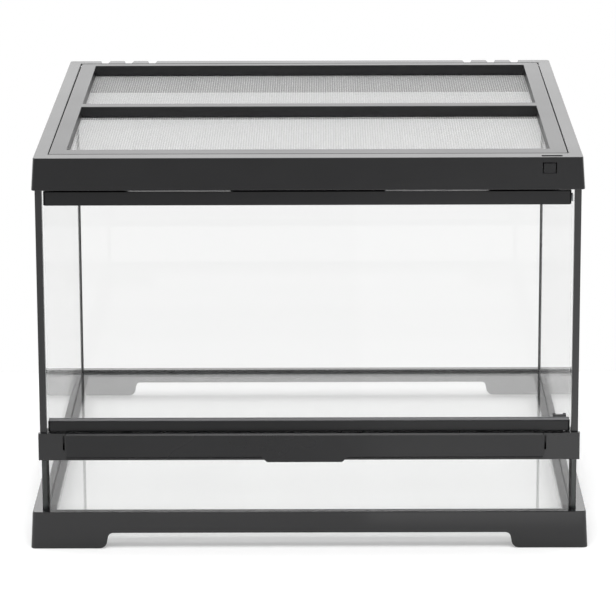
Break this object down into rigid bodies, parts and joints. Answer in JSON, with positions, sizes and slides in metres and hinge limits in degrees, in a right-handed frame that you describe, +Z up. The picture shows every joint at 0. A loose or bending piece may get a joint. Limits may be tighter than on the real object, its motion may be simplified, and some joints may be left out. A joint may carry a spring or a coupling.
{
  "type": "reptile_terrarium",
  "caption": "Glass reptile terrarium with a black moulded base, a side-hung glass door over a vent strip and a hinged mesh cover in the black top frame.",
  "frame": {"origin": "centre of the base's footprint, on the surface that the terrarium stands on", "axes": "+X to the right seen from the front, +Y to the back, +Z up"},
  "size_m": [0.474, 0.474, 0.3375],
  "materials": {
    "black_plastic": "fine satin moulding",
    "grey_plastic": "satin moulding",
    "clear_glass": "clear float glass, ground edges",
    "black_sealant": "tooled silicone bead",
    "wire_mesh": "fine woven wire",
    "steel": "drawn wire"
  },
  "bodies": {
    "tank": {"base_frame": "black_plastic", "floor_glass": "clear_glass", "back_glass": "clear_glass", "left_glass": "clear_glass", "right_glass": "clear_glass", "front_glass": "clear_glass", "glass_sealant": "black_sealant", "left_post": "black_plastic", "right_post": "black_plastic", "vent_strip": "black_plastic", "vent_screen": "steel", "latch_springs": "steel", "top_frame": "black_plastic"},
    "door": {"door_glass": "clear_glass", "door_top_rail": "black_plastic", "door_bottom_rail": "black_plastic", "top_rail_cap": "grey_plastic", "top_hinge_pin": "steel"},
    "hinge_release": {"pin_slider": "black_plastic", "bottom_hinge_pin": "steel"},
    "latch": {"latch_bar": "black_plastic", "latch_clips": "black_plastic", "latch_screws": "steel"},
    "cover": {"cover_frame": "black_plastic", "front_screen": "wire_mesh", "rear_screen": "wire_mesh", "front_retainer": "black_plastic", "rear_retainer": "black_plastic", "cover_hinge_pins": "steel"},
    "tab": {"release_tab": "black_plastic"},
    "left_gate": {"left_cable_gate": "black_plastic"},
    "right_gate": {"right_cable_gate": "black_plastic"}
  },
  "joints": [
    {"name": "door_hinge", "type": "hinge", "parent": "tank", "child": "door", "pos_m": [0.2138, -0.2228, 0.2], "axis": [0, 0, 1], "range_deg": [0, 110]},
    {"name": "pin_slide", "type": "slide", "parent": "door", "child": "hinge_release", "axis": [0, 0, 1], "range_m": [0, 0.0032]},
    {"name": "latch_slide", "type": "slide", "parent": "tank", "child": "latch", "axis": [0, 0, -1], "range_m": [0, 0.003], "stiffness_N_per_m": 400, "springref_m": -0.001, "deforming": ["latch_springs"]},
    {"name": "cover_hinge", "type": "hinge", "parent": "tank", "child": "cover", "pos_m": [0, 0.2114, 0.3348], "axis": [-1, 0, 0], "range_deg": [0, 95]},
    {"name": "tab_press", "type": "hinge", "parent": "tank", "child": "tab", "pos_m": [0.2009, -0.229, 0.3239], "axis": [-1, 0, 0], "range_deg": [0, 8], "stiffness_Nm_per_rad": 0.35, "springref_deg": -1.15},
    {"name": "left_gate_slide", "type": "slide", "parent": "tank", "child": "left_gate", "axis": [1, 0, 0], "range_m": [0, 0.0112]},
    {"name": "right_gate_slide", "type": "slide", "parent": "tank", "child": "right_gate", "axis": [-1, 0, 0], "range_m": [0, 0.0112]}
  ]
}
